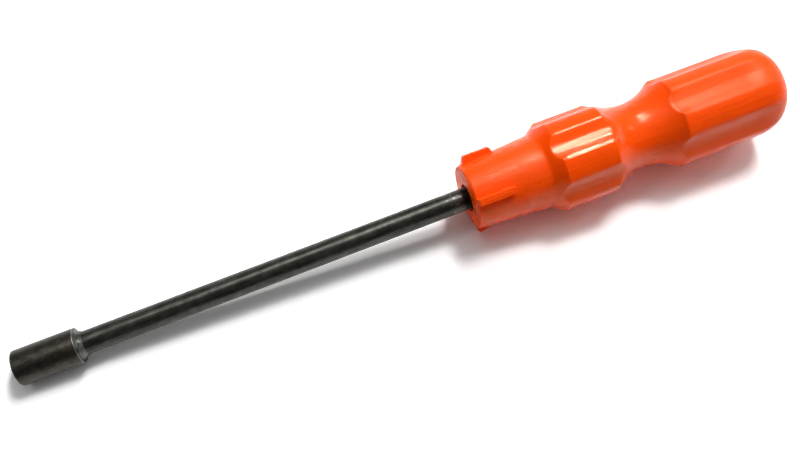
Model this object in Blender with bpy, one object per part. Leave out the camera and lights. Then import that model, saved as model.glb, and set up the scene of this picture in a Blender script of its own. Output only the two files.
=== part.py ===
"""Carburetor adjustment tool: a fluted plastic handle moulded on a steel shank with a splined drive socket.

The tool's axis is X, with the socket's mouth facing -X and the handle's domed end facing +X. The origin is
on the axis, halfway along the tool. A handle flute faces down, so that the tool rests on two ridges.
"""

import math

import bmesh
import bpy
from mathutils import Matrix, Vector

MM = 0.001

# Drive socket: a turned sleeve with a splined recess in its mouth and a plain seat for the shank behind it.
SOCKET_LENGTH = 12.9 * MM
SOCKET_WALL = 1.05 * MM
SOCKET_MOUTH_CHAMFER = 0.35 * MM
SOCKET_SHOULDER_CHAMFER = 0.2 * MM
SPLINE_COUNT = 21
SPLINE_LENGTH = 6.6 * MM
SPLINE_ROOT_DIAMETER = 5.5 * MM
SPLINE_DEPTH = 0.3 * MM
SPLINE_ROOT_ANGLE = math.radians(6.0)
SPLINE_LEAD_IN = 0.2 * MM

# Shank: a round bar, with a pair of wings pressed out of its buried end to hold it in the handle.
SHANK_DIAMETER = 5.0 * MM
SHANK_EXPOSED = 86.9 * MM
SHANK_BURIED = 52.0 * MM
SHANK_END_CHAMFER = 0.4 * MM
WING_WIDTH = 7.4 * MM
WING_THICKNESS = 2.6 * MM
WING_LENGTH = 9.0 * MM
WING_SLOPE = 1.5 * MM
WING_FROM_END = 8.0 * MM

# Handle, from its nose to its domed end.
NOSE_LENGTH = 17.1 * MM
NOSE_FRONT_DIAMETER = 14.4 * MM
NOSE_BACK_DIAMETER = 16.8 * MM
NOSE_EDGE_ROUND = 0.5 * MM
COLLAR_RAMP = 2.8 * MM
COLLAR_LENGTH = 12.0 * MM
WAIST_DEPTH = 2.9 * MM
WAIST_CURVE_RADIUS = 13.0 * MM
GRIP_LENGTH = 17.6 * MM
GRIP_DIAMETER = 20.7 * MM
GRIP_EDGE_ROUND = 0.8 * MM
DOME_LENGTH = 9.8 * MM
DOME_FULLNESS = 3.0

# Flutes along the collar and the grip, and fins on the nose.
FLUTE_COUNT = 6
FLUTE_WIDTH = 6.1 * MM
FLUTE_DEPTH = 1.0 * MM
FIN_COUNT = 4
FIN_SPAN = 18.3 * MM
FIN_THICKNESS = 1.5 * MM
FIN_LENGTH = 8.3 * MM
FIN_SETBACK = 0.5 * MM
FIN_FRONT_SLOPE = 1.2 * MM
FIN_REAR_SLOPE = 1.1 * MM
HANDLE_TURN = math.radians(30.0)

# Room left around the shank in the socket and in the handle.
SOCKET_FIT = 0.15 * MM
HANDLE_FIT = 0.15 * MM

# How far a cutting tool reaches past the surface that it cuts.
CUT_OVERSHOOT = 1.0 * MM

# Points closer than this are one point, and edges sharper than this stay sharp in the shading.
MERGE_DISTANCE = 0.001 * MM
SHARP_ANGLE = math.radians(30.0)

# Facets around and along the round shapes.
BAR_SEGMENTS = 36
SOCKET_SEGMENTS = 72
HANDLE_SEGMENTS = 72
WAIST_STEPS = 14
DOME_STEPS = 10
FLUTE_STEPS = 6
ROUND_STEPS = 3

# Stations along the handle, from the nose's front face.
GRIP_RADIUS = GRIP_DIAMETER / 2
WAIST_RADIUS = GRIP_RADIUS - WAIST_DEPTH
WAIST_HALF_LENGTH = math.sqrt(WAIST_CURVE_RADIUS ** 2 - (WAIST_CURVE_RADIUS - WAIST_DEPTH) ** 2)
COLLAR_START = NOSE_LENGTH + COLLAR_RAMP
COLLAR_END = COLLAR_START + COLLAR_LENGTH
WAIST_MIDDLE = COLLAR_END + WAIST_HALF_LENGTH
GRIP_START = WAIST_MIDDLE + WAIST_HALF_LENGTH
GRIP_END = GRIP_START + GRIP_LENGTH
HANDLE_LENGTH = GRIP_END + DOME_LENGTH

# Places along the tool.
TOOL_LENGTH = SOCKET_LENGTH + SHANK_EXPOSED + HANDLE_LENGTH
MOUTH_X = -TOOL_LENGTH / 2
SHANK_X = MOUTH_X + SPLINE_LENGTH + SOCKET_FIT
NOSE_X = MOUTH_X + SOCKET_LENGTH + SHANK_EXPOSED
SHANK_LENGTH = NOSE_X + SHANK_BURIED - SHANK_X
WING_END_X = SHANK_LENGTH - WING_FROM_END


def material(name, colour, roughness, metallic):
    """A Principled material in one colour."""
    made = bpy.data.materials.new(name)
    made.use_nodes = True
    shader = made.node_tree.nodes["Principled BSDF"]
    shader.inputs["Base Color"].default_value = (*colour, 1.0)
    shader.inputs["Roughness"].default_value = roughness
    shader.inputs["Metallic"].default_value = metallic
    return made


def object_from(bm, name):
    """Turn a bmesh into a linked object with its faces pointing out."""
    bmesh.ops.recalc_face_normals(bm, faces=bm.faces)
    mesh = bpy.data.meshes.new(name)
    bm.to_mesh(mesh)
    bm.free()
    made = bpy.data.objects.new(name, mesh)
    bpy.context.scene.collection.objects.link(made)
    return made


def finished(piece, finish):
    """Shade a piece smooth up to its real edges and give it its material."""
    piece.data.materials.append(finish)
    piece.data.shade_smooth()
    piece.data.set_sharp_from_angle(angle=SHARP_ANGLE)
    return piece


def turned(name, profile, segments, closed=False):
    """Spin a profile of (x, radius) points about the X axis."""
    bm = bmesh.new()
    verts = [bm.verts.new((x, 0.0, radius)) for x, radius in profile]
    edges = [bm.edges.new(pair) for pair in zip(verts, verts[1:])]
    if closed:
        edges.append(bm.edges.new((verts[-1], verts[0])))
    bmesh.ops.spin(
        bm,
        geom=verts + edges,
        cent=(0.0, 0.0, 0.0),
        axis=(1.0, 0.0, 0.0),
        angle=2 * math.pi,
        steps=segments,
    )
    bmesh.ops.remove_doubles(bm, verts=bm.verts, dist=MERGE_DISTANCE)
    return object_from(bm, name)


def plate(bm, outline, depth):
    """Add a closed outline of points to a mesh, extrude it by a vector and return its vertices."""
    face = bm.faces.new([bm.verts.new(point) for point in outline])
    raised = bmesh.ops.extrude_face_region(bm, geom=[face])
    moved = [item for item in raised["geom"] if isinstance(item, bmesh.types.BMVert)]
    bmesh.ops.translate(bm, verts=moved, vec=depth)
    return list(face.verts) + moved


def prism(name, outlines, start, end):
    """Extrude closed outlines of (y, z) points along X, all into one object."""
    bm = bmesh.new()
    for outline in outlines:
        plate(bm, [(start, y, z) for y, z in outline], (end - start, 0.0, 0.0))
    return object_from(bm, name)


def cut(piece, tool, operation="DIFFERENCE"):
    """Take a tool's shape out of a piece, or add it, and hide the tool."""
    tool.parent = piece
    tool.hide_render = True
    tool.display_type = "WIRE"
    step = piece.modifiers.new(tool.name, "BOOLEAN")
    step.operation = operation
    step.solver = "EXACT"
    step.object = tool


def rounded(corners):
    """Points along a profile of (x, radius, round) corners, with an arc at each corner that has a round."""
    points = []
    for i, (x, radius, size) in enumerate(corners):
        corner = Vector((x, radius))
        if not size:
            points.append(corner)
            continue
        before = (Vector(corners[i - 1][:2]) - corner).normalized()
        after = (Vector(corners[i + 1][:2]) - corner).normalized()
        half_angle = before.angle(after) / 2
        centre = corner + (before + after).normalized() * size / math.sin(half_angle)
        spoke = corner + before * size / math.tan(half_angle) - centre
        sweep = math.copysign(math.pi - 2 * half_angle, -before.cross(after))
        for step in range(ROUND_STEPS + 1):
            points.append(centre + Matrix.Rotation(sweep * step / ROUND_STEPS, 2) @ spoke)
    return points


def handle_profile():
    """The turned shape of the handle: its blind bore, then its outside from the nose to the dome."""
    bore_radius = SHANK_DIAMETER / 2 + HANDLE_FIT
    bore_end = SHANK_BURIED + HANDLE_FIT
    corners = [
        (bore_end, 0.0, 0.0),
        (bore_end, bore_radius, 0.0),
        (0.0, bore_radius, 0.0),
        (0.0, NOSE_FRONT_DIAMETER / 2, NOSE_EDGE_ROUND),
        (NOSE_LENGTH, NOSE_BACK_DIAMETER / 2, 0.0),
        (COLLAR_START, GRIP_RADIUS, NOSE_EDGE_ROUND),
    ]
    waist_angle = math.asin(WAIST_HALF_LENGTH / WAIST_CURVE_RADIUS)
    for step in range(WAIST_STEPS + 1):
        angle = waist_angle * (2 * step / WAIST_STEPS - 1)
        radius = WAIST_RADIUS + WAIST_CURVE_RADIUS * (1 - math.cos(angle))
        end = step in (0, WAIST_STEPS)
        x = WAIST_MIDDLE + WAIST_CURVE_RADIUS * math.sin(angle)
        corners.append((x, radius, GRIP_EDGE_ROUND if end else 0.0))
    for step in range(DOME_STEPS + 1):
        angle = math.pi / 2 * step / DOME_STEPS
        x = GRIP_END + DOME_LENGTH * math.sin(angle) ** (2 / DOME_FULLNESS)
        radius = GRIP_RADIUS * abs(math.cos(angle)) ** (2 / DOME_FULLNESS)
        corners.append((x, radius if step < DOME_STEPS else 0.0, 0.0))
    return rounded(corners)


def flute_outline(turn):
    """Cross-section of one flute's cutter, at an angle from the parting direction."""
    half = FLUTE_WIDTH / 2
    ridge = math.sqrt(GRIP_RADIUS ** 2 - half ** 2)
    rise = ridge - (GRIP_RADIUS - FLUTE_DEPTH)
    curve = (half ** 2 + rise ** 2) / (2 * rise)
    spread = math.asin(half / curve)
    flat = []
    for step in range(FLUTE_STEPS + 1):
        angle = spread * (2 * step / FLUTE_STEPS - 1)
        flat.append((curve * math.sin(angle), ridge - rise + curve * (1 - math.cos(angle))))
    beyond = (half + CUT_OVERSHOOT * math.cos(spread), ridge + CUT_OVERSHOOT * math.sin(spread))
    top = GRIP_RADIUS + 2 * CUT_OVERSHOOT
    flat = [(-beyond[0], top), (-beyond[0], beyond[1])] + flat + [beyond, (beyond[0], top)]
    return [Matrix.Rotation(turn, 2) @ Vector(point) for point in flat]


def fins():
    """The four nose fins, as plates that start inside the nose."""
    root = SHANK_DIAMETER / 2 + (NOSE_FRONT_DIAMETER - SHANK_DIAMETER) / 4
    outline = [
        (FIN_SETBACK, root),
        (FIN_SETBACK, NOSE_FRONT_DIAMETER / 2 - NOSE_EDGE_ROUND),
        (FIN_SETBACK + FIN_FRONT_SLOPE, FIN_SPAN / 2),
        (FIN_SETBACK + FIN_LENGTH - FIN_REAR_SLOPE, FIN_SPAN / 2),
        (FIN_SETBACK + FIN_LENGTH, NOSE_FRONT_DIAMETER / 2),
        (FIN_SETBACK + FIN_LENGTH, root),
    ]
    bm = bmesh.new()
    for count in range(FIN_COUNT):
        verts = plate(bm, [(x, -FIN_THICKNESS / 2, z) for x, z in outline], (0.0, FIN_THICKNESS, 0.0))
        turning = Matrix.Rotation(2 * math.pi * count / FIN_COUNT, 3, "X")
        bmesh.ops.rotate(bm, verts=verts, cent=(0.0, 0.0, 0.0), matrix=turning)
    return object_from(bm, "fin_plates")


def wings(name, room):
    """The pressed wings as a block with sloping sides, grown by the room left around it."""
    foot = SHANK_DIAMETER / 4
    half_width = WING_WIDTH / 2 + room
    half_thick = WING_THICKNESS / 2 + room
    start = -WING_LENGTH - room
    end = room
    outline = [
        (start, -foot),
        (start + WING_SLOPE, -half_width),
        (end - WING_SLOPE, -half_width),
        (end, -foot),
        (end, foot),
        (end - WING_SLOPE, half_width),
        (start + WING_SLOPE, half_width),
        (start, foot),
    ]
    bm = bmesh.new()
    plate(bm, [(x, y, -half_thick) for x, y in outline], (0.0, 0.0, 2 * half_thick))
    return object_from(bm, name)


def make_handle(finish):
    """The moulded handle, with its nose face at the object's origin and its parting direction along +Z."""
    handle = turned("handle", handle_profile(), HANDLE_SEGMENTS)
    turns = [2 * math.pi * (count + 0.5) / FLUTE_COUNT for count in range(FLUTE_COUNT)]
    flutes = prism("flute_cutters", [flute_outline(turn) for turn in turns],
                   NOSE_LENGTH, HANDLE_LENGTH + CUT_OVERSHOOT)
    cut(handle, flutes)
    cut(handle, fins(), "UNION")
    slot = wings("wing_slot_cutter", HANDLE_FIT)
    slot.location.x = SHANK_BURIED - WING_FROM_END
    cut(handle, slot)
    return finished(handle, finish)


def make_shank(finish):
    """The bar, with its front end at the object's origin."""
    radius = SHANK_DIAMETER / 2
    shank = turned(
        "shank",
        [
            (0.0, 0.0),
            (0.0, radius - SHANK_END_CHAMFER),
            (SHANK_END_CHAMFER, radius),
            (SHANK_LENGTH - SHANK_END_CHAMFER, radius),
            (SHANK_LENGTH, radius - SHANK_END_CHAMFER),
            (SHANK_LENGTH, 0.0),
        ],
        BAR_SEGMENTS,
    )
    ears = wings("wing_block", 0.0)
    ears.location.x = WING_END_X
    cut(shank, ears, "UNION")
    return finished(shank, finish)


def make_socket(finish):
    """The drive sleeve, with its mouth at the object's origin."""
    root = SPLINE_ROOT_DIAMETER / 2
    tip = root - SPLINE_DEPTH
    outer = root + SOCKET_WALL
    seat = SHANK_DIAMETER / 2 + SOCKET_FIT
    socket = turned(
        "drive_socket",
        [
            (0.0, root + SPLINE_LEAD_IN),
            (0.0, outer - SOCKET_MOUTH_CHAMFER),
            (SOCKET_MOUTH_CHAMFER, outer),
            (SOCKET_LENGTH - SOCKET_SHOULDER_CHAMFER, outer),
            (SOCKET_LENGTH, outer - SOCKET_SHOULDER_CHAMFER),
            (SOCKET_LENGTH, seat),
            (SPLINE_LENGTH, seat),
            (SPLINE_LENGTH, tip),
            (root + SPLINE_LEAD_IN - tip, tip),
        ],
        SOCKET_SEGMENTS,
        closed=True,
    )
    pitch = 2 * math.pi / SPLINE_COUNT
    crest = tip - SPLINE_DEPTH
    tooth = [(-pitch / 2, crest), (-SPLINE_ROOT_ANGLE / 2, root), (SPLINE_ROOT_ANGLE / 2, root)]
    star = []
    for count in range(SPLINE_COUNT):
        for angle, radius in tooth:
            star.append(Matrix.Rotation(count * pitch + angle, 2) @ Vector((0.0, radius)))
    cut(socket, prism("spline_cutter", [star], -CUT_OVERSHOOT, SPLINE_LENGTH - SOCKET_FIT))
    return finished(socket, finish)


for old in list(bpy.data.objects):
    bpy.data.objects.remove(old, do_unlink=True)

tool = bpy.data.objects.new("carburetor_tool", None)
bpy.context.scene.collection.objects.link(tool)

orange_plastic = material("orange_plastic", (1.0, 0.07, 0.004), 0.35, 0.0)
black_oxide_bar = material("black_oxide_bar", (0.018, 0.017, 0.015), 0.35, 0.9)
black_oxide_socket = material("black_oxide_socket", (0.022, 0.021, 0.018), 0.4, 0.9)

socket = make_socket(black_oxide_socket)
socket.location.x = MOUTH_X
socket.parent = tool

shank = make_shank(black_oxide_bar)
shank.location.x = SHANK_X
shank.rotation_euler.x = HANDLE_TURN
shank.parent = tool

handle = make_handle(orange_plastic)
handle.location.x = NOSE_X
handle.rotation_euler.x = HANDLE_TURN
handle.parent = tool
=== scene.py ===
import math

import bpy
import numpy as np
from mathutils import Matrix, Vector


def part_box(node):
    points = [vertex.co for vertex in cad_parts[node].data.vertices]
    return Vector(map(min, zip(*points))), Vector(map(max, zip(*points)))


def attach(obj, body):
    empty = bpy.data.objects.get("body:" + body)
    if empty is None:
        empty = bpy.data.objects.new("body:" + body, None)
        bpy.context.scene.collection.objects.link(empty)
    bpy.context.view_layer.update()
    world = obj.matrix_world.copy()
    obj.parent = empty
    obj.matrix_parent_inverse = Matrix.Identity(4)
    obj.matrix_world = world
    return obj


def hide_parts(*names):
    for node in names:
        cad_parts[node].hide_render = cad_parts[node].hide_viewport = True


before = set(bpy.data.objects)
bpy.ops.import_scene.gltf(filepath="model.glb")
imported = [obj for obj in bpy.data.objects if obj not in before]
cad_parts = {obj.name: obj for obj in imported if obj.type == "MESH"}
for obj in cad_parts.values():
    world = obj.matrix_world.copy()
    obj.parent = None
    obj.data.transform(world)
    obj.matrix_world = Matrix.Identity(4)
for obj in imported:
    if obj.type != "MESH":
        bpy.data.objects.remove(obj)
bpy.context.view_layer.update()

# Shank: a drawn steel bar, finished in black oxide. Its front end is pressed into the drive socket, and
# its rear end, pinched into a pair of wings, is buried in the handle.
MM = 0.001
MERGE_DISTANCE = 0.001 * MM
BAR_RADIUS = 2.5 * MM
BAR_END_ROUND = 0.4 * MM
BAR_COLUMNS = 96
BAR_CREASE = math.radians(35.0)
WING_LENGTH = 9.0 * MM
WING_FROM_END = 8.0 * MM
WING_WIDTH = 7.4 * MM
WING_THICKNESS = 2.6 * MM
WING_ROWS = 16
HANDLE_TURN = math.radians(33.0)
NOISE_RANGE = (0.3, 0.7)
OXIDE_BLACK = (0.035, 0.035, 0.031, 1.0)
OXIDE_OLIVE = (0.078, 0.079, 0.066, 1.0)
OXIDE_BLOOM = (0.16, 0.36)
OXIDE_ROUGHNESS = (0.35, 0.52)
OXIDE_METALLIC = 0.85
QUARTER_TURN = 0.25
GRAIN_HEIGHT = 0.02 * MM
BAR_DRAW = 60.0
BAR_BRUSHING = 0.85
BAR_GRAIN = 0.25
BARE_STEEL = (0.5, 0.5, 0.48, 1.0)
CHIP_STRETCH = (900.0, 2000.0, 2000.0)
CHIP_RANGE = (0.62, 0.7)
CHIP_HAZE = 0.06
CHIPS_REACH = 5.565 * MM
CHIPS_SPREAD = 2.0 * MM
# Painted shade: a near-black colour that stands in for the shade of the nose on the bar's last millimetres
# before the handle's face.
ENTRY_SHADE_COLOUR = (0.01, 0.009, 0.008, 1.0)
ENTRY_SHADE_REACH = 1.865 * MM
ENTRY_SHADE_SPREAD = 0.9 * MM


def softened(corners, steps=5):
    """Points along an outline of (x, radius, round) corners, with an arc at each rounded corner."""
    points = []
    for i, (x, radius, size) in enumerate(corners):
        corner = Vector((x, radius))
        if not size:
            points.append(corner)
            continue
        before = (Vector(corners[i - 1][:2]) - corner).normalized()
        after = (Vector(corners[i + 1][:2]) - corner).normalized()
        half_angle = before.angle(after) / 2
        reach = size / math.tan(half_angle)
        centre = corner + (before + after).normalized() * size / math.sin(half_angle)
        first = corner + before * reach - centre
        last = corner + after * reach - centre
        for step in range(steps + 1):
            points.append(centre + first.slerp(last, step / steps) * size)
    return points


def turned(name, outline, columns):
    """Draw an outline of (x, radius) points from one vertex and spin it about the X axis."""
    bpy.ops.object.select_all(action="DESELECT")
    bpy.ops.mesh.primitive_plane_add(size=MM)
    piece = bpy.context.object
    piece.name = name
    bpy.ops.object.mode_set(mode="EDIT")
    bpy.ops.mesh.merge(type="CENTER")
    bpy.ops.transform.translate(value=(outline[0][0], 0.0, outline[0][1]))
    for here, there in zip(outline, outline[1:]):
        move = (there[0] - here[0], 0.0, there[1] - here[1])
        bpy.ops.mesh.extrude_vertices_move(TRANSFORM_OT_translate={"value": move})
    bpy.ops.mesh.select_all(action="SELECT")
    bpy.ops.mesh.spin(steps=columns, angle=2 * math.pi, center=(0.0, 0.0, 0.0), axis=(1.0, 0.0, 0.0))
    bpy.ops.mesh.select_all(action="SELECT")
    bpy.ops.mesh.remove_doubles(threshold=MERGE_DISTANCE)
    bpy.ops.mesh.normals_make_consistent(inside=False)
    bpy.ops.object.mode_set(mode="OBJECT")
    return piece


def points_of(piece):
    """The piece's vertices as an array of places."""
    places = np.empty(len(piece.data.vertices) * 3)
    piece.data.vertices.foreach_get("co", places)
    return places.reshape(-1, 3)


def move_points(piece, places):
    """Put the piece's vertices at new places."""
    piece.data.vertices.foreach_set("co", places.ravel())
    piece.data.update()


def node(tree, kind, inputs, **settings):
    """Add a shader node, with its inputs set to values or linked to other nodes' outputs."""
    made = tree.nodes.new("ShaderNode" + kind)
    for key, value in settings.items():
        setattr(made, key, value)
    for key, value in inputs.items():
        if isinstance(value, bpy.types.NodeSocket):
            tree.links.new(value, made.inputs[key])
        else:
            made.inputs[key].default_value = value
    return made


def ramp(tree, value, start, end, low=0.0, high=1.0):
    """Go from low to high while a value goes from start to end."""
    reach = {"Value": value, "From Min": start, "From Max": end, "To Min": low, "To Max": high}
    return node(tree, "MapRange", reach).outputs[0]


def noise(tree, place, scale, detail, roughness=0.5):
    """A soft random pattern."""
    pattern = {"Vector": place, "Scale": scale, "Detail": detail, "Roughness": roughness}
    return node(tree, "TexNoise", pattern).outputs[0]


def product(tree, one, other):
    """Multiply two values."""
    return node(tree, "Math", {0: one, 1: other}, operation="MULTIPLY").outputs[0]


def total(tree, one, other):
    """Add two values."""
    return node(tree, "Math", {0: one, 1: other}, operation="ADD").outputs[0]


def blended(tree, share, colour, other):
    """Mix two colours."""
    mix = {"Factor": share, "A": colour, "B": other}
    return node(tree, "Mix", mix, data_type="RGBA").outputs["Result"]


def stretched(tree, place, scale):
    """Scale a place by its own factor along each axis."""
    return node(tree, "VectorMath", {0: place, 1: scale}, operation="MULTIPLY").outputs[0]


def in_millimetres(tree, place):
    """A place in millimetres, for patterns with a size in millimetres."""
    return node(tree, "VectorMath", {0: place, "Scale": 1 / MM}, operation="SCALE").outputs[0]


def finish(name):
    """A new material, with its node tree, its Principled shader and the place on the piece."""
    made = bpy.data.materials.new(name)
    made.use_nodes = True
    tree = made.node_tree
    return made, tree, tree.nodes["Principled BSDF"], node(tree, "TexCoord", {}).outputs["Object"]


def brushed(tree, shader, brushing, grain, strength):
    """Set a shader to steel that is brushed around the tool's axis, with a fine grain."""
    shader.inputs["Metallic"].default_value = OXIDE_METALLIC
    shader.inputs["Anisotropic"].default_value = brushing
    shader.inputs["Anisotropic Rotation"].default_value = QUARTER_TURN
    girth = node(tree, "Tangent", {}, direction_type="RADIAL", axis="X")
    tree.links.new(girth.outputs[0], shader.inputs["Tangent"])
    bump = node(tree, "Bump", {"Strength": strength, "Distance": GRAIN_HEIGHT, "Height": grain})
    tree.links.new(bump.outputs[0], shader.inputs["Normal"])


bar_low, bar_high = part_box("shank")
entry_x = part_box("handle")[0].x
wing_end = bar_high.x - WING_FROM_END
wing_rows = [wing_end - WING_LENGTH * (1 - row / WING_ROWS) for row in range(WING_ROWS + 1)]
bar_outline = softened(
    [(bar_low.x, 0.0, 0.0), (bar_low.x, BAR_RADIUS, BAR_END_ROUND)]
    + [(x, BAR_RADIUS, 0.0) for x in wing_rows]
    + [(bar_high.x, BAR_RADIUS, BAR_END_ROUND), (bar_high.x, 0.0, 0.0)]
)
shank = turned("shank_bar", bar_outline, BAR_COLUMNS)

places = points_of(shank)
pinch = np.sin(np.clip((places[:, 0] - wing_end) / WING_LENGTH + 1, 0, 1) * math.pi) ** 0.5
across = places[:, 1] * math.cos(HANDLE_TURN) + places[:, 2] * math.sin(HANDLE_TURN)
through = places[:, 2] * math.cos(HANDLE_TURN) - places[:, 1] * math.sin(HANDLE_TURN)
across *= 1 + pinch * (WING_WIDTH / 2 / BAR_RADIUS - 1)
through *= 1 + pinch * (WING_THICKNESS / 2 / BAR_RADIUS - 1)
places[:, 1] = across * math.cos(HANDLE_TURN) - through * math.sin(HANDLE_TURN)
places[:, 2] = across * math.sin(HANDLE_TURN) + through * math.cos(HANDLE_TURN)
move_points(shank, places)
bpy.ops.object.shade_smooth_by_angle(angle=BAR_CREASE)

oxide = bpy.data.node_groups.new("black_oxide", "ShaderNodeTree")
for name, side, kind in (
    ("Place", "INPUT", "NodeSocketVector"),
    ("Draw", "INPUT", "NodeSocketFloat"),
    ("Black", "INPUT", "NodeSocketColor"),
    ("Olive", "INPUT", "NodeSocketColor"),
    ("Tint", "OUTPUT", "NodeSocketColor"),
    ("Gloss", "OUTPUT", "NodeSocketFloat"),
    ("Grain", "OUTPUT", "NodeSocketFloat"),
):
    oxide.interface.new_socket(name, in_out=side, socket_type=kind)
given = oxide.nodes.new("NodeGroupInput").outputs
stretch = node(oxide, "CombineXYZ", {"X": given["Draw"], "Y": 1 / MM, "Z": 1 / MM}).outputs[0]
in_mm = in_millimetres(oxide, given["Place"])
lines = noise(oxide, stretched(oxide, given["Place"], stretch), scale=2.2, detail=5.0, roughness=0.6)
clouds = noise(oxide, in_mm, scale=0.5, detail=4.0, roughness=0.6)
grain = noise(oxide, in_mm, scale=7.0, detail=3.0)
bloom = ramp(oxide, product(oxide, lines, clouds), *OXIDE_BLOOM)
handed = oxide.nodes.new("NodeGroupOutput").inputs
oxide.links.new(blended(oxide, bloom, given["Black"], given["Olive"]), handed["Tint"])
oxide.links.new(ramp(oxide, lines, *NOISE_RANGE, *OXIDE_ROUGHNESS), handed["Gloss"])
oxide.links.new(total(oxide, grain, lines), handed["Grain"])


def oxide_skin(tree, place, draw, black, olive):
    """Place the black oxide in a material, with the grain's scale along the tool and its two colours."""
    skin = {"Place": place, "Draw": draw, "Black": black, "Olive": olive}
    return node(tree, "Group", skin, node_tree=oxide).outputs


bar_finish, tree, shader, place = finish("black_oxide_bar")
skin = oxide_skin(tree, place, BAR_DRAW, OXIDE_BLACK, OXIDE_OLIVE)
along = node(tree, "SeparateXYZ", {"Vector": place}).outputs["X"]
scuffed = ramp(tree, along, entry_x - CHIPS_REACH, entry_x - CHIPS_REACH + CHIPS_SPREAD)
# Painted shade: over about the last two millimetres before the handle's face, the bar's colour is mixed to
# near black.
entry_shade = ramp(tree, along, entry_x - ENTRY_SHADE_REACH, entry_x - ENTRY_SHADE_REACH + ENTRY_SHADE_SPREAD)
specks = noise(tree, stretched(tree, place, CHIP_STRETCH), scale=1.6, detail=2.0)
chips = product(tree, ramp(tree, specks, *CHIP_RANGE, low=CHIP_HAZE), scuffed)
chipped = blended(tree, chips, skin["Tint"], BARE_STEEL)
tree.links.new(blended(tree, entry_shade, chipped, ENTRY_SHADE_COLOUR), shader.inputs["Base Color"])
tree.links.new(skin["Gloss"], shader.inputs["Roughness"])
brushed(tree, shader, BAR_BRUSHING, skin["Grain"], BAR_GRAIN)
shank.data.materials.append(bar_finish)
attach(shank, "root")
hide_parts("shank")

# Drive socket: a sleeve turned from steel and blackened, with straight splines broached in its mouth. It is
# pressed on the bar up to a step in its bore, and brazed behind its square shoulder, where a lighter bead
# of metal shows.
SPLINE_COUNT = 21
SPLINE_ROOT_RADIUS = 2.75 * MM
SPLINE_TIP_RADIUS = 2.45 * MM
SPLINE_LENGTH = 6.6 * MM
SPLINE_LEAD_IN = 0.2 * MM
SPLINE_ROOT_SHARE = 0.35
SPLINE_FLANK_SHARE = 0.3
COLUMNS_PER_SPLINE = 10
SEAT_RADIUS = 2.65 * MM
MOUTH_ROUND = 0.3 * MM
SHOULDER_ROUND = 0.12 * MM
SOCKET_CREASE = math.radians(30.0)
BEAD_RADIUS = 3.35 * MM
BEAD_LENGTH = 1.35 * MM
BEAD_HOLLOW = ((0.3, 0.35 * MM), (0.65, 0.64 * MM))
BEAD_EDGE = 0.02 * MM
BEAD_GAP = 0.02 * MM
SAME_PLACE = 0.01 * MM
SLEEVE_BLACK = (0.033, 0.029, 0.024, 1.0)
SLEEVE_OLIVE = (0.064, 0.058, 0.046, 1.0)
SLEEVE_DRAW = 500.0
SLEEVE_BRUSHING = 0.7
SLEEVE_GRAIN = 0.3
BRAZE_DARK = (0.039, 0.04, 0.036, 1.0)
BRAZE_LIGHT = (0.23, 0.24, 0.22, 1.0)
BRAZE_DRAW = 1000.0
BRAZE_ROUGHNESS = 0.55
BRAZE_START = 0.01 * MM
BRAZE_FULL = 0.05 * MM
RIM_FROM_SHOULDER = 0.08 * MM
RIM_HALF_WIDTH = 0.07 * MM
RIM_WEAR = 0.4

sleeve_low, sleeve_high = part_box("drive_socket")
sleeve_radius = sleeve_high.z
mouth_x = sleeve_low.x
shoulder_x = sleeve_high.x
spline_end = mouth_x + SPLINE_LENGTH
bead_end = shoulder_x + BEAD_LENGTH
bead_bore = BAR_RADIUS + BEAD_GAP
hollow = [(shoulder_x + BEAD_LENGTH * share, BEAD_RADIUS - drop, 0.0) for share, drop in BEAD_HOLLOW]
sleeve_outline = softened([
    (mouth_x + SPLINE_LEAD_IN, SPLINE_ROOT_RADIUS, 0.0),
    (mouth_x, SPLINE_ROOT_RADIUS + SPLINE_LEAD_IN, 0.0),
    (mouth_x, sleeve_radius, MOUTH_ROUND),
    (shoulder_x, sleeve_radius, SHOULDER_ROUND),
    (shoulder_x, BEAD_RADIUS, 0.0),
    *hollow,
    (bead_end, bead_bore + BEAD_EDGE, 0.0),
    (bead_end, bead_bore, 0.0),
    (shoulder_x, bead_bore, 0.0),
    (shoulder_x, SEAT_RADIUS, 0.0),
    (spline_end, SEAT_RADIUS, 0.0),
    (spline_end, SPLINE_ROOT_RADIUS, 0.0),
    (mouth_x + SPLINE_LEAD_IN, SPLINE_ROOT_RADIUS, 0.0),
])
socket = turned("socket_sleeve", sleeve_outline, SPLINE_COUNT * COLUMNS_PER_SPLINE)

places = points_of(socket)
radius = np.hypot(places[:, 1], places[:, 2])
column = np.arctan2(places[:, 1], places[:, 2]) / (2 * math.pi) * SPLINE_COUNT
from_root = np.abs(column - np.rint(column)) * 2
tooth = np.clip((from_root - SPLINE_ROOT_SHARE) / SPLINE_FLANK_SHARE, 0, 1)
in_recess = np.abs(radius - SPLINE_ROOT_RADIUS) < SAME_PLACE
in_recess &= places[:, 0] < spline_end + SAME_PLACE
splined = SPLINE_ROOT_RADIUS - tooth * (SPLINE_ROOT_RADIUS - SPLINE_TIP_RADIUS)
places[:, 1:] *= (np.where(in_recess, splined, radius) / radius)[:, None]
move_points(socket, places)
bpy.ops.object.shade_smooth_by_angle(angle=SOCKET_CREASE)

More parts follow.
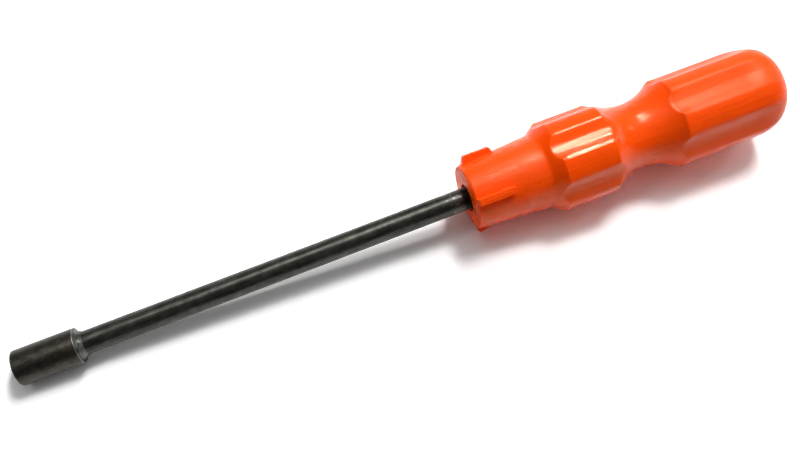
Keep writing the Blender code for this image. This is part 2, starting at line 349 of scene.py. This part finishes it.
sleeve_finish, tree, shader, place = finish("black_oxide_socket")
skin = oxide_skin(tree, place, SLEEVE_DRAW, SLEEVE_BLACK, SLEEVE_OLIVE)
bead = oxide_skin(tree, place, BRAZE_DRAW, BRAZE_DARK, BRAZE_LIGHT)
along = node(tree, "SeparateXYZ", {"Vector": place}).outputs["X"]
brazed = ramp(tree, along, shoulder_x + BRAZE_START, shoulder_x + BRAZE_FULL)
rim = {0: along, 1: shoulder_x - RIM_FROM_SHOULDER, 2: RIM_HALF_WIDTH}
on_rim = node(tree, "Math", rim, operation="COMPARE").outputs[0]
tint = blended(tree, brazed, skin["Tint"], bead["Tint"])
worn = blended(tree, product(tree, on_rim, RIM_WEAR), tint, BARE_STEEL)
tree.links.new(worn, shader.inputs["Base Color"])
dull = node(tree, "Mix", {"Factor": brazed, "A": skin["Gloss"], "B": BRAZE_ROUGHNESS}).outputs[0]
tree.links.new(dull, shader.inputs["Roughness"])
brushed(tree, shader, SLEEVE_BRUSHING, skin["Grain"], SLEEVE_GRAIN)
socket.data.materials.append(sleeve_finish)
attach(socket, "root")
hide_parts("drive_socket")

# Handle: one injection moulding in orange plastic, moulded over the bar. A parting line runs along it
# through two opposite fins of the nose, and shallow flutes run along its collar and its grip.
NOSE_LENGTH = 17.1 * MM
NOSE_FRONT_RADIUS = 7.2 * MM
NOSE_BACK_RADIUS = 8.4 * MM
NOSE_EDGE_ROUND = 0.5 * MM
NOSE_FILLET = 1.5 * MM
COLLAR_RAMP = 2.8 * MM
COLLAR_LENGTH = 12.0 * MM
COLLAR_EDGE_ROUND = 0.5 * MM
WAIST_DEPTH = 2.9 * MM
WAIST_CURVE_RADIUS = 13.0 * MM
GRIP_EDGE_ROUND = 1.0 * MM
DOME_LENGTH = 9.8 * MM
DOME_FULLNESS = 3.0
BORE_RADIUS = 2.65 * MM
BORE_DEPTH = 52.15 * MM
BORE_CLEAR = 1.0 * MM
BORE_MOUTH_RADIUS = 3.2 * MM
BORE_MOUTH_DEPTH = 1.5 * MM
POCKET_RADIUS = 3.9 * MM
POCKET_DEPTH = 34.0 * MM
FLUTES = np.radians((32.0, 90.0, 148.0))
FLUTE_WIDTH = 5.8 * MM
FLUTE_DEPTH = 1.0 * MM
FLUTE_DOME_SHARE = 0.9
RAMP_RIDGE_SOFTNESS = 0.15 * MM
COLLAR_RIDGE_SOFTNESS = 0.65 * MM
GRIP_RIDGE_SOFTNESS = 0.9 * MM
COLLAR_SOFTENING = 1.0 * MM
GRIP_SOFTENING = 2.0 * MM
GRIP_RUN_IN = 3.0 * MM
FIN_COUNT = 4
FIN_RADIUS = 9.15 * MM
SHORT_FIN_RADIUS = 8.25 * MM
SHORT_FIN_LENGTH = 5.0 * MM
FIN_THICKNESS = 1.5 * MM
FIN_START = 0.5 * MM
FIN_FRONT_SLOPE = 1.2 * MM
FIN_END = 8.8 * MM
FIN_REAR_SLOPE = 1.1 * MM
FIN_CLEAR = 1.0 * MM
BLUNT_SLOPE = 0.25 * MM
FIN_SOFTNESS = 0.22 * MM
PARTING_HEIGHT = 0.03 * MM
PARTING_WIDTH = 0.12 * MM
HANDLE_CREASE = math.radians(50.0)

# Rows along the handle and columns around it, set closer where an edge or a ridge needs them.
FIN_ROW = 0.25 * MM
NOSE_ROW = 0.7 * MM
NOSE_ROWS_SHORT = 2.0 * MM
RAMP_ROW = 0.12 * MM
RAMP_ROWS_LATE = 0.5 * MM
RAMP_ROWS_SHORT = 0.2 * MM
COLLAR_ROW = 0.4 * MM
COLLAR_ROWS_LATE = 0.6 * MM
COLLAR_ROWS_SHORT = 0.4 * MM
WAIST_MIDDLE = 0.4
WAIST_MIDDLE_STEP = 0.03
WAIST_EDGE_STEP = 0.013
GRIP_ROW = 0.5 * MM
GRIP_ROWS_LATE = 1.0 * MM
DOME_STEP = 0.04
HANDLE_COLUMNS = 320
FLUTE_CROWDING = (3.0, 0.03)
FIN_CROWDING = (9.0, 0.012)
PARTING_CROWDING = (6.0, 0.03)
AROUND_STEP = 0.05
LEAST_SINE = 0.001

ORANGE = (1.0, 0.077, 0.0008, 1.0)
HIGHLIGHT = (1.0, 0.97, 0.65, 1.0)
FLOW_STRETCH = (0.12, 1.0, 1.0)
TONE = (0.95, 1.04)
RUBBED_RANGE = (0.35, 0.65)
NOSE_ROUGHNESS = (0.22, 0.42)
COLLAR_ROUGHNESS = 0.15
GRIP_ROUGHNESS = 0.33
STREAK_ROUGHNESS = (-0.05, 0.07)
DULLING_START = 5.0 * MM
DULLING_END = 13.0 * MM
NOSE_CHANGE = 1.0 * MM
NOSE_GLEAM = (0.44, 0.2)
GRIP_GLEAM = 0.24
FACE_GLEAM = 0.3
FACE_EDGE = 0.05 * MM
FACE_DEPTH = 0.4 * MM
BUMP_STRENGTH = 0.5
WAVE_HEIGHT = 0.12 * MM
PEEL_HEIGHT = 0.04 * MM
GLOW_WEIGHT = 0.25
GLOW_COLOURS = (1.0, 0.25, 0.08)
GLOW_DEPTH = 2.5 * MM

handle_low, handle_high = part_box("handle")
nose_x = handle_low.x
grip_radius = handle_high.y
collar_start = NOSE_LENGTH + COLLAR_RAMP
collar_end = collar_start + COLLAR_LENGTH
waist_half = math.sqrt(WAIST_CURVE_RADIUS ** 2 - (WAIST_CURVE_RADIUS - WAIST_DEPTH) ** 2)
waist_middle = collar_end + waist_half
grip_start = collar_end + 2 * waist_half
grip_end = handle_high.x - nose_x - DOME_LENGTH
fins_end = FIN_END + FIN_CLEAR


def stepped(start, end, spacing):
    """Evenly spaced values from start up to, but without, end."""
    count = max(1, round((end - start) / spacing))
    return [start + (end - start) * step / count for step in range(count)]


corners = [
    (BORE_DEPTH, 0.0, 0.0),
    (BORE_DEPTH, POCKET_RADIUS, 0.0),
    (POCKET_DEPTH, POCKET_RADIUS, 0.0),
    (POCKET_DEPTH, BORE_RADIUS, 0.0),
    (BORE_MOUTH_DEPTH, BORE_RADIUS, 0.0),
    (BORE_MOUTH_DEPTH, BORE_MOUTH_RADIUS, 0.0),
    (0.0, BORE_MOUTH_RADIUS, 0.0),
    (0.0, NOSE_FRONT_RADIUS, NOSE_EDGE_ROUND),
]
nose_taper = (NOSE_BACK_RADIUS - NOSE_FRONT_RADIUS) / NOSE_LENGTH
nose_rows = stepped(2 * NOSE_EDGE_ROUND, fins_end, FIN_ROW)
nose_rows += stepped(fins_end, NOSE_LENGTH - NOSE_ROWS_SHORT, NOSE_ROW)
corners += [(x, NOSE_FRONT_RADIUS + nose_taper * x, 0.0) for x in nose_rows]
corners.append((NOSE_LENGTH, NOSE_BACK_RADIUS, NOSE_FILLET))
ramp_slope = (grip_radius - NOSE_BACK_RADIUS) / COLLAR_RAMP
ramp_rows = stepped(NOSE_LENGTH + RAMP_ROWS_LATE, collar_start - RAMP_ROWS_SHORT, RAMP_ROW)
corners += [(x, NOSE_BACK_RADIUS + ramp_slope * (x - NOSE_LENGTH), 0.0) for x in ramp_rows]
corners.append((collar_start, grip_radius, COLLAR_EDGE_ROUND))
collar_rows = stepped(collar_start + COLLAR_ROWS_LATE, collar_end - COLLAR_ROWS_SHORT, COLLAR_ROW)
corners += [(x, grip_radius, 0.0) for x in collar_rows]
waist_angle = math.asin(waist_half / WAIST_CURVE_RADIUS)
waist_steps = stepped(-waist_angle, -WAIST_MIDDLE, WAIST_EDGE_STEP)
waist_steps += stepped(-WAIST_MIDDLE, WAIST_MIDDLE, WAIST_MIDDLE_STEP)
waist_steps += stepped(WAIST_MIDDLE, waist_angle, WAIST_EDGE_STEP) + [waist_angle]
waist_rounds = {-waist_angle: COLLAR_EDGE_ROUND, waist_angle: GRIP_EDGE_ROUND}
for angle in waist_steps:
    x = waist_middle + WAIST_CURVE_RADIUS * math.sin(angle)
    waist_radius = grip_radius - WAIST_DEPTH + WAIST_CURVE_RADIUS * (1 - math.cos(angle))
    corners.append((x, waist_radius, waist_rounds.get(angle, 0.0)))
corners += [(x, grip_radius, 0.0) for x in stepped(grip_start + GRIP_ROWS_LATE, grip_end, GRIP_ROW)]
for angle in stepped(0.0, math.pi / 2, DOME_STEP) + [math.pi / 2]:
    x = grip_end + DOME_LENGTH * math.sin(angle) ** (2 / DOME_FULLNESS)
    corners.append((x, grip_radius * max(math.cos(angle), 0.0) ** (2 / DOME_FULLNESS), 0.0))
handle_outline = [(nose_x + x, radius) for x, radius in softened(corners)]
handle = turned("moulded_handle", handle_outline, HANDLE_COLUMNS)


def soft_min(one, other, blend):
    """The smaller of two heights, with the edge between them rounded off."""
    share = np.clip(0.5 + (other - one) / (2 * blend), 0, 1)
    return other + (one - other) * share - blend * share * (1 - share)


def soft_max(one, other, blend):
    """The larger of two heights, with a fillet between them."""
    return -soft_min(-one, -other, blend)


def off_nearest(angle, count):
    """The angle from the nearest of evenly spaced places, the first of them on the parting line."""
    pitch = 2 * math.pi / count
    return np.abs((angle + pitch / 2) % pitch - pitch / 2)


def off_flute(angle):
    """The angle from the middle of the nearest flute. Flutes are mirrored about the parting line."""
    return np.min(np.abs(off_nearest(angle, 1)[:, None] - FLUTES), axis=1)


def crowd(off, amount, width):
    """How many more columns stand around an edge."""
    return amount * np.exp(-(off / width) ** 2)


places = points_of(handle)
radius = np.hypot(places[:, 1], places[:, 2])
spun = np.arctan2(-places[:, 1], places[:, 2]) % (2 * math.pi)

around = np.radians(np.arange(0.0, 360.0 + AROUND_STEP / 2, AROUND_STEP))
flute_half = math.asin(FLUTE_WIDTH / 2 / grip_radius)
fin_half = math.asin(FIN_THICKNESS / 2 / NOSE_BACK_RADIUS)
crowding = 1 + crowd(off_flute(around) - flute_half, *FLUTE_CROWDING)
crowding += crowd(off_nearest(around, FIN_COUNT) - fin_half, *FIN_CROWDING)
crowding += crowd(off_nearest(around, 2), *PARTING_CROWDING)
share = np.concatenate([[0.0], np.cumsum(crowding[1:])])
column = np.rint(spun / (2 * math.pi) * HANDLE_COLUMNS) % HANDLE_COLUMNS
turn = np.interp(column / HANDLE_COLUMNS * share[-1], share, around)

flute_edge = math.sqrt(grip_radius ** 2 - (FLUTE_WIDTH / 2) ** 2)
flute_rise = flute_edge - (grip_radius - FLUTE_DEPTH)
flute_curve = ((FLUTE_WIDTH / 2) ** 2 + flute_rise ** 2) / (2 * flute_rise)
flute_centre = grip_radius - FLUTE_DEPTH + flute_curve
aside = off_flute(turn)
flute = flute_centre * np.cos(aside)
flute -= np.sqrt(np.maximum(flute_curve ** 2 - (flute_centre * np.sin(aside)) ** 2, 0))

behind = places[:, 0] - nose_x
ridges = {
    collar_start: RAMP_RIDGE_SOFTNESS,
    collar_start + COLLAR_SOFTENING: COLLAR_RIDGE_SOFTNESS,
    collar_end: COLLAR_RIDGE_SOFTNESS,
    grip_start: RAMP_RIDGE_SOFTNESS,
    grip_start + GRIP_SOFTENING: GRIP_RIDGE_SOFTNESS,
}
softness = np.interp(behind, list(ridges), list(ridges.values()))
carved = soft_min(radius, flute, softness)
fading = np.clip(FLUTE_DOME_SHARE - (behind - grip_end) / DOME_LENGTH, 0, 1)
depth = (grip_radius - soft_min(grip_radius, flute, softness)) * fading ** 2 * (3 - 2 * fading)
carved = np.where(behind > grip_start + GRIP_RUN_IN, radius - depth, carved)

fin_foot = NOSE_FRONT_RADIUS - NOSE_EDGE_ROUND
front_slope = (behind - FIN_START) / FIN_FRONT_SLOPE
rear_slope = (FIN_END - behind) / FIN_REAR_SLOPE
sloped = np.clip(np.minimum(front_slope, rear_slope), 0, 1)
blunt = np.clip(np.minimum(behind, FIN_END - behind) / BLUNT_SLOPE, 0, 1)
wedge = np.clip(behind / BLUNT_SLOPE, 0, 1) * np.clip(1 - behind / SHORT_FIN_LENGTH, 0, 1)
on_parting = off_nearest(turn, 2) < math.pi / 4
fin = fin_foot + (FIN_RADIUS - fin_foot) * np.where(on_parting, blunt, sloped)
short_fin = NOSE_FRONT_RADIUS + (SHORT_FIN_RADIUS - NOSE_FRONT_RADIUS) * wedge
fin = np.where(np.abs(turn - math.pi / 2) < math.pi / 4, short_fin, fin)
flank = FIN_THICKNESS / 2 / np.maximum(np.sin(off_nearest(turn, FIN_COUNT)), LEAST_SINE)
fin = soft_min(fin, flank, FIN_SOFTNESS)
carved = np.where(behind < fins_end, soft_max(carved, fin, FIN_SOFTNESS), carved)

parting = np.exp(-(off_nearest(turn, 2) * radius / PARTING_WIDTH) ** 2)
carved += PARTING_HEIGHT * parting * np.clip(radius / NOSE_FRONT_RADIUS, 0, 1)
outside = radius > NOSE_FRONT_RADIUS - 2 * NOSE_EDGE_ROUND
outside |= behind > BORE_DEPTH + BORE_CLEAR
radius = np.where(outside, carved, radius)
places[:, 1] = -radius * np.sin(turn + HANDLE_TURN)
places[:, 2] = radius * np.cos(turn + HANDLE_TURN)
move_points(handle, places)
bpy.ops.object.shade_smooth_by_angle(angle=HANDLE_CREASE)

plastic, tree, shader, place = finish("orange_plastic")
along = node(tree, "SeparateXYZ", {"Vector": place}).outputs["X"]
in_mm = in_millimetres(tree, place)
mottle = noise(tree, in_mm, scale=0.18, detail=4.0)
peel = noise(tree, in_mm, scale=0.8, detail=2.0)
rubbed = noise(tree, in_mm, scale=0.3, detail=5.0, roughness=0.65)
streaks = noise(tree, stretched(tree, in_mm, FLOW_STRETCH), scale=0.8, detail=3.0)
tone = ramp(tree, mottle, *NOISE_RANGE, *TONE)
hue = node(tree, "HueSaturation", {"Color": ORANGE, "Value": tone}).outputs[0]
tree.links.new(hue, shader.inputs["Base Color"])

nose_end = nose_x + NOSE_LENGTH
nose_change = (nose_end - NOSE_CHANGE, nose_end + NOSE_CHANGE)
waist_x = nose_x + collar_end
dulling = (waist_x + DULLING_START, waist_x + DULLING_END)
nose_rough = ramp(tree, rubbed, *RUBBED_RANGE, *NOSE_ROUGHNESS)
grip_rough = ramp(tree, along, *dulling, COLLAR_ROUGHNESS, GRIP_ROUGHNESS)
rough = ramp(tree, along, *nose_change, nose_rough, grip_rough)
uneven = ramp(tree, streaks, *NOISE_RANGE, *STREAK_ROUGHNESS)
tree.links.new(total(tree, rough, uneven), shader.inputs["Roughness"])

nose_gleam = ramp(tree, nose_rough, *NOSE_ROUGHNESS, *NOSE_GLEAM)
gleam = ramp(tree, along, *nose_change, nose_gleam, GRIP_GLEAM)
matt = ramp(tree, along, nose_x + FACE_EDGE, nose_x + FACE_DEPTH, low=FACE_GLEAM)
shader.inputs["Specular IOR Level"].default_value = GRIP_GLEAM
tree.links.new(product(tree, gleam, matt), shader.inputs["Specular IOR Level"])

flow_marks = {"Strength": BUMP_STRENGTH, "Distance": WAVE_HEIGHT, "Height": streaks}
waves = node(tree, "Bump", flow_marks).outputs[0]
orange_peel = {"Strength": BUMP_STRENGTH, "Distance": PEEL_HEIGHT, "Height": peel, "Normal": waves}
tree.links.new(node(tree, "Bump", orange_peel).outputs[0], shader.inputs["Normal"])
shader.inputs["Specular Tint"].default_value = HIGHLIGHT
shader.inputs["Subsurface Weight"].default_value = GLOW_WEIGHT
shader.inputs["Subsurface Radius"].default_value = GLOW_COLOURS
shader.inputs["Subsurface Scale"].default_value = GLOW_DEPTH
handle.data.materials.append(plastic)
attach(handle, "root")
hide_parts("handle")

# Table: a plain white sheet that turns to pure white far from the tool. The tool lies on the lower edge of
# the socket's mouth and on the two ridges beside the collar's lowest flute, so the sheet falls away
# slightly from the tip to the handle.
TABLE_SIZE = 3.0
TABLE_WHITE = (0.92, 0.92, 0.92, 1.0)
SHEET_ROUGHNESS = 0.8
SHEET_GLEAM = 0.2
SHEET_LIFT = 0.3
FADE_START = 0.2
FADE_END = 0.4


def shown_rays(tree):
    """1 for the rays that show a background, also in metal and glass, and 0 for those that only light."""
    path = node(tree, "LightPath", {}).outputs
    seen = path["Is Camera Ray"]
    for kind in ("Is Glossy Ray", "Is Transmission Ray"):
        seen = node(tree, "Math", {0: seen, 1: path[kind]}, operation="MAXIMUM").outputs[0]
    return seen


tip_rest = Vector((mouth_x + MOUTH_ROUND, 0.0, -sleeve_radius))
collar_rest = Vector((nose_x + collar_start, 0.0, -flute_edge))
fall = math.atan2(tip_rest.z - collar_rest.z, collar_rest.x - tip_rest.x)
bpy.ops.object.select_all(action="DESELECT")
bpy.ops.mesh.primitive_plane_add(
    size=TABLE_SIZE, location=(tip_rest + collar_rest) / 2, rotation=(0.0, fall, 0.0)
)
table = bpy.context.object
table.name = "table_sheet"
sheet, tree, shader, place = finish("white_sheet")
shader.inputs["Base Color"].default_value = TABLE_WHITE
shader.inputs["Roughness"].default_value = SHEET_ROUGHNESS
shader.inputs["Specular IOR Level"].default_value = SHEET_GLEAM
shown = shown_rays(tree)
lift = node(tree, "BsdfDiffuse", {"Color": product(tree, shown, SHEET_LIFT)}).outputs[0]
lifted = node(tree, "AddShader", {0: shader.outputs[0], 1: lift}).outputs[0]
distance = node(tree, "VectorMath", {0: place}, operation="LENGTH").outputs["Value"]
far = product(tree, ramp(tree, distance, FADE_START, FADE_END), shown)
blank = node(tree, "Emission", {}).outputs[0]
whole = node(tree, "MixShader", {0: far, 1: lifted, 2: blank}).outputs[0]
tree.links.new(whole, tree.nodes["Material Output"].inputs["Surface"])
table.data.materials.append(sheet)

# Light: a key lamp and a small glint lamp above the handle, a long soft panel beside a wide faint one, a
# side lamp and a low window past the handle's end, in a dim room that is white only near the horizon.
PANEL_PLACE = Vector((20.0, 172.0, 555.0)) * MM
PANEL_SIZE = Vector((820.0, 95.0)) * MM
PANEL_POWER = 0.5
WIDE_PLACE = Vector((380.0, 225.0, 570.0)) * MM
WIDE_SIZE = Vector((850.0, 290.0)) * MM
WIDE_POWER = 0.39
PANEL_SLANT = math.radians(18.0)
PANEL_TILT = math.radians(24.0)
KEY_PLACE = Vector((235.0, 195.0, 545.0)) * MM
KEY_SIZE = Vector((150.0, 105.0)) * MM
KEY_POWER = 2.15
GLINT_PLACE = Vector((295.0, 360.0, 545.0)) * MM
GLINT_SIZE = Vector((80.0, 80.0)) * MM
GLINT_POWER = 1.5
SIDE_PLACE = Vector((665.0, 85.0, 545.0)) * MM
SIDE_SIZE = Vector((80.0, 60.0)) * MM
SIDE_POWER = 0.31
WINDOW_PLACE = Vector((700.0, 90.0, 130.0)) * MM
WINDOW_SIZE = Vector((220.0, 320.0)) * MM
WINDOW_POWER = 0.35
WHITE = (1.0, 1.0, 1.0, 1.0)
OVERHEAD = Vector((0.45, 0.3, 0.85)).normalized()
OVERHEAD_RANGE = (0.4, 1.0)
OVERHEAD_LEVEL = 0.5
BEHIND = Vector((0.35, 0.94, 0.1)).normalized()
BEHIND_RANGE = (0.4, 0.9)
BEHIND_LEVEL = 0.18
DIM_LEVEL = 0.045
WHITE_LEVEL = 1.0
WHITE_FADE = math.sin(math.radians(4.0))
WHITE_TOP = math.sin(math.radians(10.0))


def lamp(name, place, size, power, turn):
    """Hang a rectangular lamp."""
    bpy.ops.object.light_add(type="AREA", location=place, rotation=turn)
    light = bpy.context.object
    light.name = name
    light.data.shape = "RECTANGLE"
    light.data.size = size.x
    light.data.size_y = size.y
    light.data.energy = power


def aimed(place):
    """The turn of a lamp that points at the middle of the tool."""
    return (-place).to_track_quat("-Z", "Y").to_euler()


def facing(tree, towards, direction):
    """How nearly a ray goes in a direction: 1 along it, and 0 across it."""
    return node(tree, "VectorMath", {0: towards, 1: direction}, operation="DOT_PRODUCT").outputs["Value"]


lamp("soft_panel", PANEL_PLACE, PANEL_SIZE, PANEL_POWER, (-PANEL_TILT, 0.0, PANEL_SLANT))
lamp("wide_panel", WIDE_PLACE, WIDE_SIZE, WIDE_POWER, (-PANEL_TILT, 0.0, PANEL_SLANT))
lamp("key_lamp", KEY_PLACE, KEY_SIZE, KEY_POWER, aimed(KEY_PLACE))
lamp("glint_lamp", GLINT_PLACE, GLINT_SIZE, GLINT_POWER, aimed(GLINT_PLACE))
lamp("side_lamp", SIDE_PLACE, SIDE_SIZE, SIDE_POWER, (0.0, PANEL_TILT, 0.0))
lamp("window", WINDOW_PLACE, WINDOW_SIZE, WINDOW_POWER, (0.0, math.pi / 2, 0.0))
room = bpy.data.worlds.new("pale_room")
bpy.context.scene.world = room
room.use_nodes = True
tree = room.node_tree
backdrop = tree.nodes["Background"]
backdrop.inputs["Color"].default_value = WHITE
towards = node(tree, "TexCoord", {}).outputs["Generated"]
ceiling = ramp(tree, facing(tree, towards, OVERHEAD), *OVERHEAD_RANGE, DIM_LEVEL, OVERHEAD_LEVEL)
wall = ramp(tree, facing(tree, towards, BEHIND), *BEHIND_RANGE, high=BEHIND_LEVEL)
height = node(tree, "SeparateXYZ", {"Vector": towards}).outputs["Z"]
white = product(tree, ramp(tree, height, WHITE_TOP, WHITE_FADE), shown_rays(tree))
strength = node(tree, "Mix", {"Factor": white, "A": total(tree, ceiling, wall), "B": WHITE_LEVEL})
tree.links.new(strength.outputs[0], backdrop.inputs["Strength"])

# Camera: held close above the tool, as in the photograph, with a lens as long as its sensor is wide.
CAMERA_PLACE = Vector((-23.83, -58.06, 161.72)) * MM
CAMERA_TURN = (math.radians(20.666), math.radians(1.027), math.radians(-21.744))
CAMERA_SENSOR = 36.0
CAMERA_LENS = 36.0
CAMERA_NEAREST = 5.0 * MM
bpy.ops.object.camera_add(location=CAMERA_PLACE, rotation=CAMERA_TURN)
camera = bpy.context.object
camera.data.sensor_width = CAMERA_SENSOR
camera.data.lens = CAMERA_LENS
camera.data.clip_start = CAMERA_NEAREST
bpy.context.scene.camera = camera
bpy.context.scene.view_settings.view_transform = "Standard"
